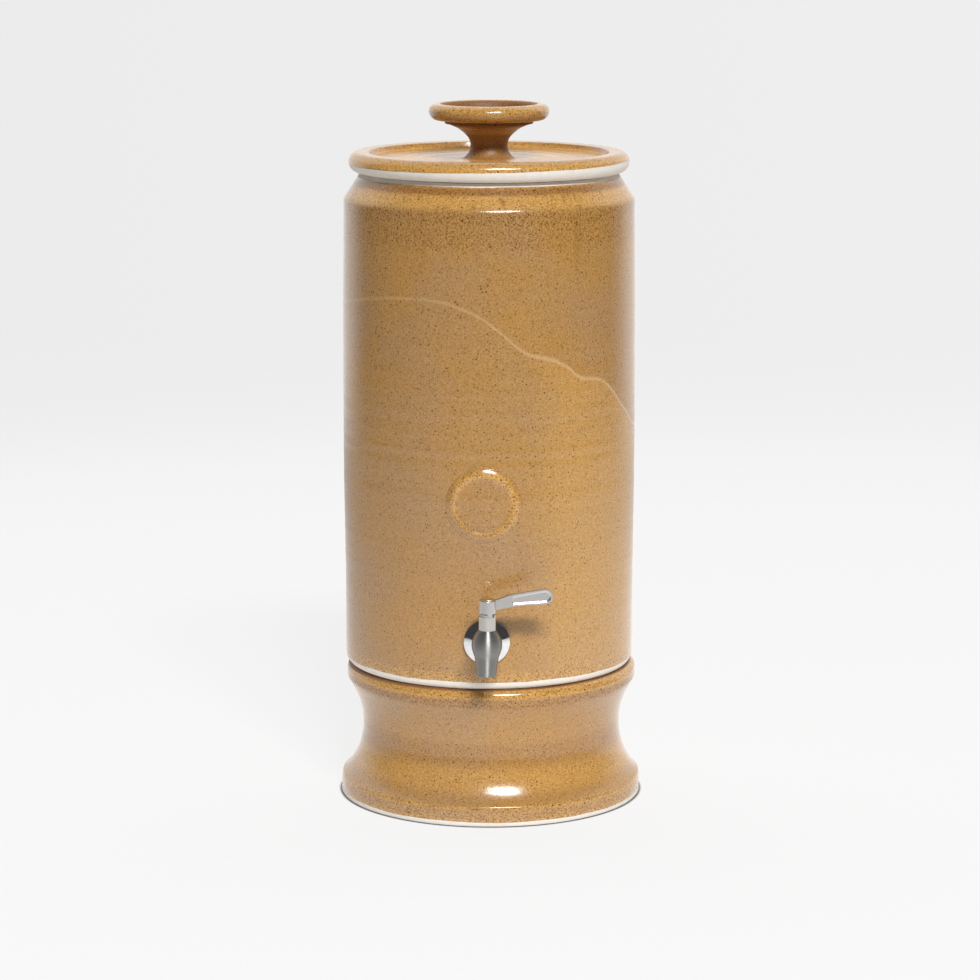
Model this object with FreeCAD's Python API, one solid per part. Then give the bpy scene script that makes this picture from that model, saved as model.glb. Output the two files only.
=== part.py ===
import FreeCAD, Part
import math
import os

V = FreeCAD.Vector

# Frame: millimetres, +Z up. The origin is the centre of the foot ring, on the table.
# The tap faces -Y. Its lever points to +X when it is shut and to -Y when it is open.

# Stand: a thrown flared ring, open at both ends
stand_height = 110.0
stand_foot_radius = 123.6
stand_foot_width = 7.0
stand_band_radius = 124.3
stand_bevel_height = 2.6
stand_bevel_inset = 0.3
stand_band_height = 16.0
stand_band_swell = 0.4
stand_band_crown = 0.7
stand_waist_radius = 105.5
stand_waist_height = 57.5
stand_rim_radius = 119.0
stand_rim_height = 12.6
stand_rim_round = 6.5
stand_seat_width = 13.5
stand_wall = 9.0
stand_inner_round = 3.0
stand_head_inset = 1.6
stand_head_drop = 3.0

# Crock: the tall outer vessel, seated on the stand's rim
crock_radius = 117.5
crock_height = 400.3
crock_wall = 8.0
crock_floor = 9.0
crock_foot_recess = 5.0
crock_foot_round = 5.5
crock_foot_inset = 16.5
crock_shoulder_drop = 21.3
crock_shoulder_round = 8.0
crock_mouth_radius = 96.0
crock_rim_width = 7.4
crock_rim_round = 2.0
crock_floor_round = 8.0

# Gallery: the ledge in the crock's mouth that carries the inner bowl
gallery_depth = 16.3
gallery_thickness = 7.0
gallery_pocket = 6.5
gallery_pocket_depth = 10.0
gallery_slope_height = 15.0
gallery_round = 1.5

# Upper reservoir: the inner bowl, which hangs by its flange
reservoir_radius = 87.0
reservoir_wall = 5.5
reservoir_floor = 8.0
reservoir_depth = 190.0
reservoir_round = 8.0
flange_thickness = 6.0
flange_round = 1.2
flange_clearance = 1.5
gallery_clearance = 2.0

# Lid and its knob: one thrown piece
lid_edge_thickness = 17.0
lid_edge_radius = 112.9
lid_edge_round = 8.2
lid_rim_inner_radius = 96.5
lid_lip_drop = 1.0
lid_plate_drop = 5.2
lid_plate_fall = 2.3
lid_plate_thickness = 8.0
lid_lip_round = 0.9
lid_ring_depth = 8.0
lid_ring_wall = 6.0
lid_ring_clearance = 2.0
lid_ring_round = 1.5
knob_height = 45.2
knob_flare_radius = 25.5
knob_stem_radius = 15.0
knob_stem_height = 12.0
knob_bowl_radius = 34.0
knob_bead = 1.5
knob_ring_radius = 48.4
knob_ring_thickness = 13.0
knob_ring_width = 12.9
knob_bowl_depth = 14.8
knob_bowl_round = 7.0
knob_flare_lift = 1.0

# Medallion: a disc of clay pressed on the crock's front
medallion_radius = 30.1
medallion_ring_width = 7.0
medallion_proud = 2.2
medallion_recess_proud = 0.9
medallion_x = -4.2
medallion_height = 149.0

# Tap: its shank's axis lies at tap_height above the crock's foot, and rises and drops are from it
tap_height = 40.0
tap_side = -1.7
tap_lean = 1.0
barrel_reach = 29.5
shank_radius = 8.0
shank_bore_radius = 4.5
tap_hole_clearance = 0.6
thread_clearance = 0.1
shank_spare = 3.5
neck_radius = 9.5
barrel_radius = 6.65
barrel_rise = 28.7
barrel_foot_rise = 16.0
bulge_high_pole = 14.6
bulge_high_rise = 7.5
bulge_low_pole = 11.9
bulge_low_rise = 0.2
bulge_head_spread = 0.4
bulge_foot_radius = 9.45
bulge_foot_drop = 5.4
outlet_radius = 7.75
outlet_bore_radius = 6.4
outlet_drop = 20.5
outlet_round = 0.5

# Tap seals and clamping
flange_radius = 18.3
flange_edge = 1.6
flange_dome = 5.0
flange_boss_width = 1.0
outer_washer_radius = 17.2
outer_washer_thickness = 0.8
inner_washer_radius = 14.0
inner_washer_thickness = 2.5
backing_washer_radius = 13.0
backing_washer_thickness = 1.5
clamp_nut_across_flats = 24.0
clamp_nut_thickness = 8.0
face_clearance = 0.05

# Valve: a plug that turns in a soft seat
plug_radius = 5.2
plug_clearance = 0.05
seat_clearance = 0.02
seat_drop = 9.0
seat_rise = 12.5
seat_web = 2.0
plug_lift = 1.0
port_radius = 3.3
port_rise = 3.5
stem_radius = 4.0
stem_clearance = 0.05
drive_across_flats = 5.6
drive_height = 5.1
drive_clearance = 0.05
o_ring_section_radius = 0.5
o_ring_groove_radius = 2.9
o_ring_groove_width = 1.2
o_ring_lift = 3.5
o_ring_pitch = 3.6
o_ring_count = 2

# Lever
hub_radius = 6.85
hub_height = 10.3
hub_gap = 1.05
hub_round = 0.6
stop_tab_depth = 2.45
stop_tab_angle = -73.0
stop_tab_half_width = 17.5
stop_tab_floor_gap = 0.3
stop_free_angle = 2.0
stop_slot_angle = 18.0
stop_land_radius = 5.6
lever_travel = 90.0
neck_thickness = 5.0
paddle_thickness = 3.4
paddle_start = 17.8
paddle_length = 33.0
paddle_root_height = 9.2
paddle_tip_height = 12.6
paddle_rise_angle = 7.7
paddle_lift = 10.25
paddle_rim = 1.3
paddle_recess = 0.7
neck_lift = 2.25
neck_height = 7.0
neck_elbow_reach = 10.7
neck_elbow_lift = 1.6
neck_round = 3.0
neck_lap = 2.0
screw_radius = 2.0
screw_length = 12.0
screw_hole_spare = 1.0
screw_head_radius = 3.5
screw_head_height = 2.4
screw_hole_clearance = 0.1
cap_radius = 5.0
cap_thickness = 1.2
cap_dome = 0.8
cap_clearance = 0.05

# Filter candle, held in the bowl's floor by its stem and wing nut
candle_radius = 25.0
candle_height = 150.0
candle_wall = 8.0
candle_top_round = 23.0
candle_clearance = 0.25
candle_base_radius = 27.5
candle_base_thickness = 10.0
candle_base_rim = 4.0
candle_base_round = 1.0
stem_thread_radius = 6.0
stem_bore_radius = 2.5
stem_length = 43.0
stem_hole_clearance = 0.75
candle_washer_radius = 15.0
candle_washer_thickness = 3.0
stem_washer_radius = 14.0
stem_washer_thickness = 3.0
carbon_radius = 14.0
carbon_bore_radius = 4.0
carbon_height = 116.0
carbon_end = 8.0
wing_nut_height = 11.0
wing_nut_radius = 11.0
wing_span_radius = 24.0
wing_thickness = 4.0
wing_height = 14.0
wing_round = 5.0

# Shares that shape the curves and rounded corners
stand_foot_pull = 0.43
stand_foot_rise = 0.26
stand_waist_pull = 0.37
stand_head_pull = 0.42
stand_head_rise = 0.70
stand_band_share = 0.8
flare_sweep = 0.65
flare_rise = 0.45
throat_rise = 0.40
throat_spread = 0.34
throat_height = 0.73
full_round = 0.49
ring_inner_round = 0.46
bowl_side = 0.75
bowl_floor = 0.6
paddle_tip_round = 0.93
cap_shoulder = 0.75
cap_shoulder_rise = 0.6
cap_crown = 0.4
hexagon_sides = 6

# Places worked out from the sizes above
crock_foot_z = stand_height
crock_top_z = crock_foot_z + crock_height
crock_inner_radius = crock_radius - crock_wall
crock_floor_z = crock_foot_z + crock_foot_recess + crock_floor
gallery_z = crock_top_z - gallery_depth
gallery_radius = reservoir_radius + gallery_clearance
reservoir_top_z = gallery_z + flange_thickness
reservoir_floor_z = reservoir_top_z - reservoir_depth
reservoir_foot_z = reservoir_floor_z - reservoir_floor
lid_top_z = crock_top_z + lid_edge_thickness
lid_plate_z = lid_top_z - lid_plate_drop - lid_plate_fall
medallion_z = crock_foot_z + medallion_height
tap_z = crock_foot_z + tap_height
barrel_y = -crock_radius - barrel_reach
barrel_foot_z = tap_z + barrel_foot_rise
barrel_top_z = tap_z + barrel_rise
bulge_foot_z = tap_z - bulge_foot_drop
outlet_z = tap_z - outlet_drop
seat_foot_z = tap_z - seat_drop
seat_top_z = tap_z + seat_rise
o_ring_low_z = seat_top_z + o_ring_lift
flange_back_y = -crock_radius - outer_washer_thickness
flange_front_y = flange_back_y - flange_dome
inner_washer_y = -crock_inner_radius + inner_washer_thickness
backing_washer_y = inner_washer_y + backing_washer_thickness
clamp_nut_y = backing_washer_y + clamp_nut_thickness
shank_end_y = clamp_nut_y + shank_spare
hub_foot_z = barrel_top_z + hub_gap
hub_top_z = hub_foot_z + hub_height
neck_foot_z = hub_foot_z + neck_lift
paddle_root_z = hub_foot_z + paddle_lift
drive_top_z = hub_foot_z + drive_height
cap_z = hub_top_z - cap_thickness
screw_seat_z = cap_z - screw_head_height - cap_clearance
screw_foot_z = screw_seat_z - screw_length
candle_base_z = reservoir_floor_z + candle_washer_thickness
candle_z = candle_base_z + candle_base_thickness
stem_foot_z = candle_base_z - stem_length
stem_washer_z = reservoir_foot_z - stem_washer_thickness
wing_nut_z = stem_washer_z - wing_nut_height


def corner_arc(before, corner, after, radius):
    """Start, middle and end of the tangent arc that rounds a corner."""
    back = (before - corner).normalize()
    ahead = (after - corner).normalize()
    half_angle = back.getAngle(ahead) / 2
    setback = radius / math.tan(half_angle)
    middle = (back + ahead).normalize() * (radius / math.sin(half_angle) - radius)
    return corner + back * setback, corner + middle, corner + ahead * setback


def outline(*items):
    """Closed face in the XZ plane.

    An item is a corner (x, z), a rounded corner (x, z, radius), or a list of the four poles
    of a smooth curve that starts at the first pole and ends at the last.
    """
    poles = []
    for item in items:
        corners = item if isinstance(item, list) else [item]
        poles.append([V(corner[0], 0, corner[1]) for corner in corners])
    spans = []
    for index, item in enumerate(items):
        here = poles[index]
        before = poles[index - 1][-1]
        after = poles[(index + 1) % len(items)][0]
        if isinstance(item, list):
            curve = Part.BezierCurve()
            curve.setPoles(here)
            spans.append((here[0], curve.toShape(), here[-1]))
        elif len(item) == 3:
            start, middle, end = corner_arc(before, here[0], after, item[2])
            spans.append((start, Part.Arc(start, middle, end).toShape(), end))
        else:
            spans.append((here[0], None, here[0]))
    edges = []
    for index, (start, edge, end) in enumerate(spans):
        if edge:
            edges.append(edge)
        following = spans[(index + 1) % len(spans)][0]
        if end.distanceToPoint(following) > 1e-6:
            edges.append(Part.LineSegment(end, following).toShape())
    return Part.Face(Part.Wire(edges))


def turned(face, y=0.0):
    """Solid of revolution about the upright axis, moved to y."""
    solid = face.revolve(V(0, 0, 0), V(0, 0, 1), 360)
    solid.translate(V(0, y, 0))
    return solid


def ring(outer_radius, inner_radius, low_z, high_z, y=0.0):
    """Upright tube, or a disc when it has no inner radius."""
    solid = Part.makeCylinder(outer_radius, high_z - low_z, V(0, y, low_z))
    if inner_radius > 0:
        solid = solid.cut(Part.makeCylinder(inner_radius, high_z - low_z, V(0, y, low_z)))
    return solid


def rod_y(radius, low_y, high_y, x=0.0, z=tap_z):
    """Cylinder along Y."""
    return Part.makeCylinder(radius, high_y - low_y, V(x, low_y, z), V(0, 1, 0))


def wall_cylinder(radius):
    """The crock's wall surface as a solid, to fit flat pieces to its curve."""
    return Part.makeCylinder(radius, crock_height, V(0, 0, crock_foot_z))


def wedge(radius, low_z, high_z, middle_angle, half_width, y):
    """Upright sector about the barrel's axis, in degrees from +X."""
    solid = Part.makeCylinder(radius, high_z - low_z, V(0, 0, low_z), V(0, 0, 1), 2 * half_width)
    solid.rotate(V(0, 0, 0), V(0, 0, 1), middle_angle - half_width)
    solid.translate(V(0, y, 0))
    return solid


def make_stand():
    """Flared ring with a rolled rim and a nearly upright band at its foot."""
    flare_foot = (stand_band_radius - stand_band_crown, stand_band_height)
    flare_head = (stand_rim_radius - stand_head_inset,
                  stand_height - stand_rim_height - stand_head_drop)
    lower = stand_waist_height - stand_band_height
    upper = flare_head[1] - stand_waist_height
    lower_flare = stand_band_radius - stand_waist_radius
    upper_flare = flare_head[0] - stand_waist_radius
    inner_foot = stand_foot_radius - stand_foot_width
    seat_inner = stand_rim_radius - stand_rim_round - stand_seat_width
    inner_waist = stand_waist_radius - stand_wall
    return turned(outline(
        (stand_foot_radius, 0),
        [(stand_band_radius - stand_bevel_inset, stand_bevel_height),
         (stand_band_radius + stand_band_swell, stand_band_height / 2),
         (stand_band_radius + stand_band_swell / 2, stand_band_height * stand_band_share),
         flare_foot],
        [flare_foot,
         (flare_foot[0] - lower_flare * stand_foot_pull, stand_band_height + lower * stand_foot_rise),
         (stand_waist_radius, stand_waist_height - lower * stand_waist_pull),
         (stand_waist_radius, stand_waist_height)],
        [(stand_waist_radius, stand_waist_height),
         (stand_waist_radius, stand_waist_height + upper * stand_head_pull),
         (stand_waist_radius + upper_flare * stand_head_pull,
          stand_waist_height + upper * stand_head_rise),
         flare_head],
        (stand_rim_radius, stand_height - stand_rim_height, stand_inner_round),
        (stand_rim_radius, stand_height, stand_rim_round),
        (seat_inner, stand_height, stand_inner_round),
        (seat_inner, stand_height - stand_rim_height, stand_inner_round),
        [(inner_waist, stand_waist_height),
         (inner_waist, stand_waist_height - lower * stand_waist_pull),
         (inner_foot - lower_flare * stand_foot_pull, stand_band_height + lower * stand_foot_rise),
         (inner_foot, stand_bevel_height)],
        (inner_foot, 0),
    ))


def make_crock():
    """Outer vessel with its foot recess, shoulder, mouth and gallery, and the tap's hole."""
    foot_inner = crock_radius - crock_foot_inset
    pocket_radius = crock_mouth_radius + gallery_pocket
    body = turned(outline(
        (0, crock_floor_z),
        (0, crock_foot_z + crock_foot_recess),
        (foot_inner, crock_foot_z + crock_foot_recess, crock_rim_round),
        (foot_inner, crock_foot_z),
        (crock_radius, crock_foot_z, crock_foot_round),
        (crock_radius, crock_top_z - crock_shoulder_drop, crock_shoulder_round),
        (crock_mouth_radius + crock_rim_width, crock_top_z, crock_rim_round),
        (crock_mouth_radius, crock_top_z, crock_rim_round),
        (crock_mouth_radius, gallery_z + gallery_pocket_depth, crock_rim_round),
        (pocket_radius, gallery_z, gallery_round),
        (gallery_radius, gallery_z, gallery_round),
        (gallery_radius, gallery_z - gallery_thickness, gallery_round),
        (crock_inner_radius, gallery_z - gallery_thickness - gallery_slope_height, crock_rim_round),
        (crock_inner_radius, crock_floor_z, crock_floor_round),
    ))
    hole_radius = shank_radius + tap_hole_clearance
    return body.cut(rod_y(hole_radius, -crock_radius - crock_wall, -crock_inner_radius + crock_wall,
                          tap_side))


def make_medallion():
    """Round seal that follows the wall, with a raised ring and a bare middle."""
    outer = wall_cylinder(crock_radius + medallion_proud)
    inner = wall_cylinder(crock_radius + medallion_recess_proud)
    disc = rod_y(medallion_radius, -crock_radius - medallion_proud, 0, medallion_x, medallion_z)
    seal = disc.common(outer).cut(wall_cylinder(crock_radius))
    hollow_radius = medallion_radius - medallion_ring_width
    hollow = rod_y(hollow_radius, -crock_radius - 2 * medallion_proud, 0, medallion_x, medallion_z)
    return seal.cut(hollow.cut(inner))


def make_lid():
    """Dished lid with a locating ring below and a hollow ring-shaped knob above."""
    ring_radius = crock_mouth_radius - lid_ring_clearance
    ring_inner = ring_radius - lid_ring_wall
    under_z = lid_plate_z - lid_plate_thickness
    stem_z = lid_plate_z + knob_stem_height
    knob_top_z = lid_plate_z + knob_height
    ring_foot_z = knob_top_z - knob_ring_thickness
    bowl_z = ring_foot_z - 2 * knob_bead
    ring_hole = knob_ring_radius - knob_ring_width
    rise = bowl_z - stem_z
    flare = knob_flare_radius - knob_stem_radius
    spread = knob_bowl_radius - knob_stem_radius
    knob_outer_round = knob_ring_thickness * full_round
    return turned(outline(
        (0, under_z),
        (ring_inner, under_z, lid_ring_round),
        (ring_inner, crock_top_z - lid_ring_depth, lid_ring_round),
        (ring_radius, crock_top_z - lid_ring_depth, lid_ring_round),
        (ring_radius, crock_top_z),
        (lid_edge_radius, crock_top_z, lid_edge_round),
        (lid_edge_radius, lid_top_z, lid_edge_round),
        (lid_rim_inner_radius, lid_top_z - lid_lip_drop, lid_lip_round),
        (lid_rim_inner_radius - lid_lip_drop, lid_top_z - lid_plate_drop, lid_lip_round),
        [(knob_flare_radius, lid_plate_z),
         (knob_flare_radius - flare_sweep * flare, lid_plate_z + knob_flare_lift),
         (knob_stem_radius, lid_plate_z + flare_rise * knob_stem_height),
         (knob_stem_radius, stem_z)],
        [(knob_stem_radius, stem_z),
         (knob_stem_radius, stem_z + throat_rise * rise),
         (knob_stem_radius + throat_spread * spread, stem_z + throat_height * rise),
         (knob_bowl_radius, bowl_z)],
        (knob_bowl_radius + knob_bead, bowl_z, knob_bead / 3),
        (knob_bowl_radius + knob_bead, ring_foot_z, knob_bead / 3),
        (knob_ring_radius, ring_foot_z, knob_outer_round),
        (knob_ring_radius, knob_top_z, knob_outer_round),
        (ring_hole, knob_top_z, knob_ring_width * ring_inner_round),
        (ring_hole, knob_top_z - bowl_side * knob_bowl_depth, knob_bowl_round),
        (bowl_floor * ring_hole, knob_top_z - knob_bowl_depth, knob_bowl_round),
        (0, knob_top_z - knob_bowl_depth),
    ))


def make_reservoir():
    """Inner bowl with its hanging flange and the hole for the candle's stem."""
    hole = stem_thread_radius + stem_hole_clearance
    inner = reservoir_radius - reservoir_wall
    flange = crock_mouth_radius - flange_clearance
    return turned(outline(
        (hole, reservoir_foot_z),
        (reservoir_radius, reservoir_foot_z, reservoir_round),
        (reservoir_radius, gallery_z),
        (flange, gallery_z, flange_round),
        (flange, reservoir_top_z, flange_round),
        (inner, reservoir_top_z, flange_round),
        (inner, reservoir_floor_z, reservoir_round),
        (hole, reservoir_floor_z),
    ))


def make_candle_dome():
    """Hollow ceramic candle with a domed top."""
    inner = candle_radius - candle_wall
    top_z = candle_z + candle_height
    return turned(outline(
        (inner, candle_z),
        (candle_radius, candle_z),
        (candle_radius, top_z, candle_top_round),
        (0, top_z),
        (0, top_z - candle_wall),
        (inner, top_z - candle_wall, candle_top_round - candle_wall),
    ))


def make_carbon_core():
    """Carbon block with a blind bore that leads down to the stem."""
    block = ring(carbon_radius, 0, candle_z, candle_z + carbon_height)
    return block.cut(ring(carbon_bore_radius, 0, candle_z, candle_z + carbon_height - carbon_end))


def make_candle_base():
    """Cup that the candle stands in, with the hollow stem below it."""
    cup = candle_radius + candle_clearance
    return turned(outline(
        (stem_bore_radius, stem_foot_z),
        (stem_thread_radius, stem_foot_z, candle_base_round),
        (stem_thread_radius, candle_base_z),
        (candle_base_radius, candle_base_z, candle_base_round),
        (candle_base_radius, candle_z + candle_base_rim),
        (cup, candle_z + candle_base_rim),
        (cup, candle_z),
        (stem_bore_radius, candle_z),
    ))


def make_wing_nut():
    """Round nut with two rounded wings."""
    nut = ring(wing_nut_radius, 0, wing_nut_z, stem_washer_z)
    wing_top = wing_nut_z + wing_nut_height
    wings = outline(
        (-wing_span_radius, wing_top, wing_round),
        (-wing_span_radius, wing_top - wing_height, wing_round),
        (wing_span_radius, wing_top - wing_height, wing_round),
        (wing_span_radius, wing_top, wing_round),
    ).extrude(V(0, wing_thickness, 0))
    wings.translate(V(0, -wing_thickness / 2, 0))
    mouth = ring(wing_nut_radius, 0, wing_top - wing_height, wing_nut_z)
    bore = ring(stem_thread_radius + thread_clearance, 0, wing_top - wing_height, wing_top)
    return nut.fuse(wings.cut(mouth)).cut(bore)


def hung(shape):
    """A tap piece built upright at x = 0, moved to the tap's place and leaned with the tap."""
    shape.rotate(V(0, 0, tap_z), V(0, 1, 0), tap_lean)
    shape.translate(V(tap_side, 0, 0))
    return shape


def make_tap_body():
    """Barrel, elbow and spout in one, with the neck and the shank that goes through the wall."""
    upright = turned(outline(
        (0, outlet_z),
        (outlet_radius, outlet_z, outlet_round),
        (bulge_foot_radius, bulge_foot_z),
        [(bulge_foot_radius, bulge_foot_z),
         (bulge_low_pole, tap_z + bulge_low_rise),
         (bulge_high_pole, tap_z + bulge_high_rise),
         (barrel_radius + bulge_head_spread, barrel_foot_z)],
        (barrel_radius, barrel_foot_z),
        (barrel_radius, barrel_top_z),
        (0, barrel_top_z),
    ), barrel_y)
    neck = rod_y(neck_radius, barrel_y, flange_front_y)
    shank = rod_y(shank_radius, flange_front_y, shank_end_y)
    step_half = stop_tab_half_width + stop_free_angle + lever_travel / 2
    step_z = hub_foot_z - stop_tab_depth - stop_tab_floor_gap
    step = wedge(hub_radius, step_z, barrel_top_z, stop_tab_angle - lever_travel / 2,
                 step_half, barrel_y)
    step = step.cut(ring(stop_land_radius, 0, step_z, barrel_top_z, barrel_y))
    slot_angle = stop_tab_angle + stop_tab_half_width + stop_slot_angle / 2
    slot = wedge(hub_radius, step_z, barrel_top_z, slot_angle, stop_slot_angle / 2, barrel_y)
    body = upright.fuse(neck).fuse(shank)
    body = body.cut(ring(outlet_bore_radius, 0, outlet_z, seat_top_z, barrel_y))
    body = body.cut(ring(stem_radius + stem_clearance, 0, seat_top_z, barrel_top_z, barrel_y))
    body = body.cut(rod_y(shank_bore_radius, barrel_y, shank_end_y))
    return body.cut(step).cut(slot)


def make_valve_seat():
    """Sleeve around the plug, open below and to the inlet, with a web above the plug."""
    outer = outlet_bore_radius - seat_clearance
    bore = plug_radius + plug_clearance
    seat = ring(outer, 0, seat_foot_z, seat_top_z, barrel_y)
    seat = seat.cut(ring(bore, 0, seat_foot_z, seat_top_z - seat_web, barrel_y))
    web_hole = stem_radius + 2 * stem_clearance
    seat = seat.cut(ring(web_hole, 0, seat_top_z - seat_web, seat_top_z, barrel_y))
    return seat.cut(rod_y(port_radius, barrel_y, barrel_y + outer))


def make_valve_plug():
    """Plug with an L-shaped port, stem with seal grooves, square drive and a screw hole."""
    shoulder_z = seat_top_z - seat_web - plug_clearance
    plug = ring(plug_radius, 0, seat_foot_z + plug_lift, shoulder_z, barrel_y)
    stem = ring(stem_radius, 0, shoulder_z, hub_foot_z, barrel_y)
    half = drive_across_flats / 2
    drive = Part.makeBox(2 * half, 2 * half, drive_top_z - hub_foot_z - face_clearance,
                         V(-half, barrel_y - half, hub_foot_z))
    plug = plug.fuse(stem).fuse(drive)
    for number in range(o_ring_count):
        middle = o_ring_low_z + number * o_ring_pitch
        groove = ring(stem_radius, o_ring_groove_radius,
                      middle - o_ring_groove_width / 2, middle + o_ring_groove_width / 2, barrel_y)
        plug = plug.cut(groove)
    plug = plug.cut(ring(port_radius, 0, seat_foot_z, tap_z + port_rise, barrel_y))
    side_port = Part.makeCylinder(port_radius, plug_radius, V(0, barrel_y, tap_z), V(-1, 0, 0))
    plug = plug.cut(side_port)
    tapped = ring(screw_radius + screw_hole_clearance, 0,
                  screw_foot_z - screw_hole_spare, drive_top_z, barrel_y)
    return plug.cut(tapped)


def make_o_rings():
    """Seals that lie in the stem's grooves."""
    centre_radius = o_ring_groove_radius + o_ring_section_radius + face_clearance / 2
    seals = []
    for number in range(o_ring_count):
        middle = V(0, barrel_y, o_ring_low_z + number * o_ring_pitch)
        seals.append(Part.makeTorus(centre_radius, o_ring_section_radius, middle))
    return Part.Compound(seals)


def make_escutcheon():
    """Domed flange with a hole for the shank."""
    dome = outline(
        (shank_radius + thread_clearance, 0),
        (flange_radius, 0),
        (flange_radius, flange_edge, flange_edge / 2),
        (neck_radius + flange_boss_width, flange_dome, flange_edge),
        (shank_radius + thread_clearance, flange_dome),
    ).revolve(V(0, 0, 0), V(0, 0, 1), 360)
    dome.rotate(V(0, 0, 0), V(1, 0, 0), 90)
    dome.translate(V(0, flange_back_y, tap_z))
    return dome


def make_outer_washer():
    """Soft washer, flat to the flange and curved to the wall."""
    disc = rod_y(outer_washer_radius, flange_back_y, -crock_inner_radius, tap_side)
    washer = disc.cut(wall_cylinder(crock_radius + face_clearance))
    return washer.cut(rod_y(shank_radius + thread_clearance, flange_back_y, 0, tap_side))


def make_inner_washer():
    """Soft washer, curved to the inside of the wall and flat to the steel washer."""
    disc = rod_y(inner_washer_radius, -crock_radius, inner_washer_y, tap_side)
    washer = disc.common(wall_cylinder(crock_inner_radius - face_clearance))
    return washer.cut(rod_y(shank_radius + thread_clearance, -crock_radius, 0, tap_side))


def make_backing_washer():
    """Flat steel washer."""
    disc = rod_y(backing_washer_radius, inner_washer_y, backing_washer_y)
    return disc.cut(rod_y(shank_radius + thread_clearance, inner_washer_y, backing_washer_y))


def make_clamp_nut():
    """Hexagon nut on the shank."""
    corner_radius = clamp_nut_across_flats / 2 / math.cos(math.pi / hexagon_sides)
    corners = []
    for number in range(hexagon_sides + 1):
        angle = 2 * math.pi / hexagon_sides * number
        corners.append(V(corner_radius * math.cos(angle), backing_washer_y,
                         tap_z + corner_radius * math.sin(angle)))
    nut = Part.Face(Part.makePolygon(corners)).extrude(V(0, clamp_nut_thickness, 0))
    return nut.cut(rod_y(shank_radius + thread_clearance, backing_washer_y, clamp_nut_y))


def paddle_outline(inset):
    """Long rounded outline of the paddle, drawn in by inset on every side."""
    slope = math.tan(math.radians(paddle_rise_angle))
    start = paddle_start + inset
    end = paddle_start + paddle_length - inset
    root_half = paddle_root_height / 2 - inset
    tip_half = paddle_tip_height / 2 - inset
    tip_z = paddle_root_z + paddle_length * slope
    return outline(
        (start, paddle_root_z - root_half, root_half / 2),
        (end, tip_z - tip_half, tip_half * paddle_tip_round),
        (end, tip_z + tip_half, tip_half * paddle_tip_round),
        (start, paddle_root_z + root_half, root_half / 2),
    )


def make_lever():
    """Hub with its stop tab, and a neck that carries an upright paddle."""
    hub = turned(outline(
        (0, hub_foot_z),
        (hub_radius, hub_foot_z),
        (hub_radius, hub_top_z, hub_round),
        (0, hub_top_z),
    ), barrel_y)
    tab = wedge(hub_radius, hub_foot_z - stop_tab_depth, hub_foot_z, stop_tab_angle,
                stop_tab_half_width, barrel_y)
    land = stop_land_radius + thread_clearance
    tab = tab.cut(ring(land, 0, hub_foot_z - stop_tab_depth, hub_foot_z, barrel_y))
    paddle_foot_z = paddle_root_z - paddle_root_height / 2
    paddle_head_z = paddle_root_z + paddle_root_height / 2
    neck = outline(
        (hub_radius / 2, neck_foot_z),
        (neck_elbow_reach, neck_foot_z + neck_elbow_lift, neck_round),
        (paddle_start + neck_lap, paddle_foot_z),
        (paddle_start + neck_lap, paddle_head_z),
        (paddle_start, paddle_head_z, neck_round),
        (hub_radius / 2, neck_foot_z + neck_height),
    ).extrude(V(0, neck_thickness, 0))
    neck.translate(V(0, barrel_y - neck_thickness / 2, 0))
    paddle = paddle_outline(0).extrude(V(0, paddle_thickness, 0))
    paddle.translate(V(0, barrel_y - paddle_thickness / 2, 0))
    recess = paddle_outline(paddle_rim).extrude(V(0, neck_thickness, 0))
    recess.translate(V(0, barrel_y - paddle_thickness / 2 + paddle_recess - neck_thickness, 0))
    lever = hub.fuse(neck).fuse(paddle).fuse(tab).cut(recess)
    half = drive_across_flats / 2 + drive_clearance
    socket = Part.makeBox(2 * half, 2 * half, drive_top_z - hub_foot_z,
                          V(-half, barrel_y - half, hub_foot_z))
    lever = lever.cut(socket)
    screw_hole = screw_radius + screw_hole_clearance
    head_hole = screw_head_radius + screw_hole_clearance
    lever = lever.cut(ring(screw_hole, 0, hub_foot_z, hub_top_z, barrel_y))
    lever = lever.cut(ring(head_hole, 0, screw_seat_z, hub_top_z, barrel_y))
    return lever.cut(ring(cap_radius + cap_clearance, 0, cap_z, hub_top_z, barrel_y))


def make_lever_screw():
    """Round-headed screw down into the plug's stem."""
    head = ring(screw_head_radius, 0, screw_seat_z, screw_seat_z + screw_head_height, barrel_y)
    return head.fuse(ring(screw_radius, 0, screw_foot_z, screw_seat_z, barrel_y))


def make_lever_cap():
    """Shallow domed cap over the screw."""
    crown = hub_top_z + cap_dome
    return turned(outline(
        (0, cap_z),
        (cap_radius, cap_z),
        [(cap_radius, hub_top_z),
         (cap_radius * cap_shoulder, hub_top_z + cap_dome * cap_shoulder_rise),
         (cap_radius * cap_crown, crown),
         (0, crown)],
    ), barrel_y)


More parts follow.
